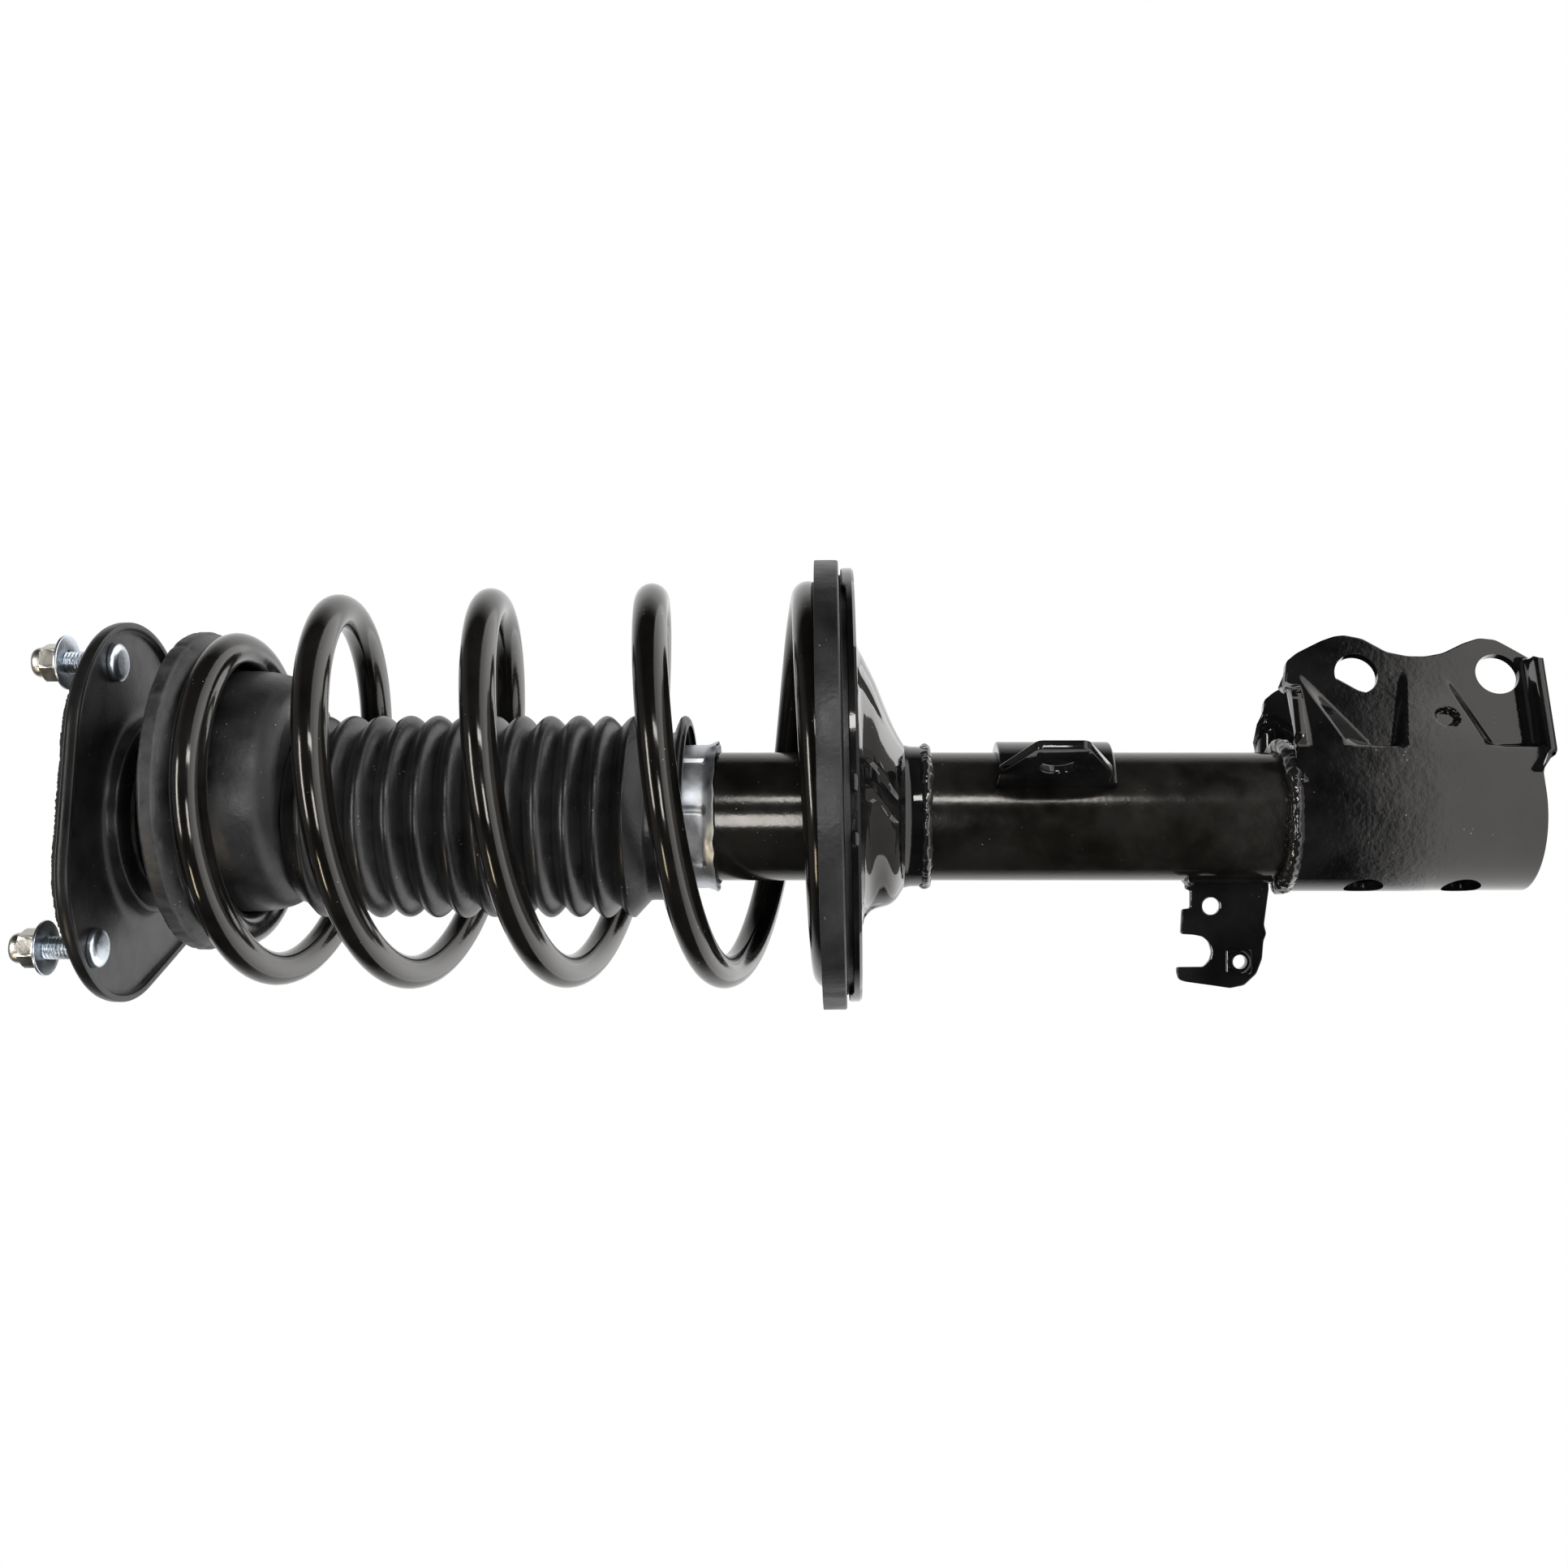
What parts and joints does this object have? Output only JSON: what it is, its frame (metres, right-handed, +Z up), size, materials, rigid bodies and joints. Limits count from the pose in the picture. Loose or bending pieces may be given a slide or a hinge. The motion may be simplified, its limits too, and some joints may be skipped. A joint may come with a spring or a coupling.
{
  "type": "suspension strut assembly",
  "caption": "Upright coil-over strut: damper tube with spring, dust boot and studded top mount, a two-eared knuckle bracket, and side tabs for a stabiliser link and a brake hose.",
  "frame": {"origin": "centre of the stud circle on the upper face of the top mount's plate", "axes": "+Z runs up the strut axis towards the vehicle body, +X is the direction of the knuckle bracket's ears, and the knuckle bolts lie along Y"},
  "size_m": [0.1661, 0.166, 0.5422],
  "materials": {
    "mount_steel": "satin black coat",
    "mount_rubber": "matte",
    "core_steel": "machined",
    "bearing_steel": "ground",
    "gasket_foam": "rough open foam",
    "zinc_stud": "clear zinc with a blue cast",
    "zinc_nut": "clear zinc",
    "zinc_washer": "clear zinc with a blue cast",
    "cage_plastic": "moulded",
    "rod_chrome": "polished hard chrome",
    "seat_paint": "gloss black",
    "insulator_rubber": "matte, slightly dusty",
    "boot_rubber": "matte",
    "stop_foam": "microcellular foam",
    "seal_rubber": "smooth",
    "piston_steel": "sintered",
    "band_plastic": "low-friction band",
    "tube_paint": "gloss black",
    "cap_zinc": "bright zinc",
    "guide_alloy": "sintered",
    "weld_paint": "gloss black over weld",
    "pad_rubber": "matte slate grey",
    "spring_paint": "gloss black powder coat",
    "bracket_paint": "gloss black"
  },
  "bodies": {
    "top_mount": {"mount_plate": "mount_steel", "mount_rubber": "mount_rubber", "mount_core": "core_steel", "bearing_outer_race": "bearing_steel", "mount_gasket": "gasket_foam", "mount_studs": "zinc_stud", "stud_nuts": "zinc_nut", "nut_washers": "zinc_washer", "bearing_balls": "bearing_steel", "bearing_cage": "cage_plastic"},
    "rod": {"piston_rod": "rod_chrome", "rod_nut": "zinc_nut", "rod_washer": "zinc_washer", "bearing_inner_race": "bearing_steel", "bearing_spacer": "core_steel", "upper_spring_seat": "seat_paint", "upper_insulator": "insulator_rubber", "dust_boot": "boot_rubber", "bump_stop": "stop_foam", "rebound_stop": "seal_rubber", "piston": "piston_steel", "piston_band": "band_plastic", "piston_nut": "zinc_nut"},
    "damper": {"outer_tube": "tube_paint", "tube_base": "tube_paint", "striker_cap": "cap_zinc", "oil_seal": "seal_rubber", "rod_guide": "guide_alloy", "inner_tube": "core_steel", "base_valve": "piston_steel", "lower_spring_seat": "seat_paint", "seat_weld": "weld_paint", "lower_insulator": "pad_rubber", "coil_spring": "spring_paint", "link_bracket": "bracket_paint", "hose_bracket": "bracket_paint", "knuckle_bracket": "bracket_paint", "bracket_weld": "weld_paint"}
  },
  "joints": [
    {"name": "mount_bearing", "type": "hinge", "parent": "top_mount", "child": "rod", "pos_m": [0, 0, 0], "axis": [0, 0, 1], "continuous": true},
    {"name": "strut_travel", "type": "slide", "parent": "rod", "child": "damper", "axis": [0, 0, 1], "range_m": [0, 0.12], "stiffness_N_per_m": 24000, "springref_m": -0.09, "deforming": ["coil_spring", "dust_boot", "bump_stop"]}
  ]
}
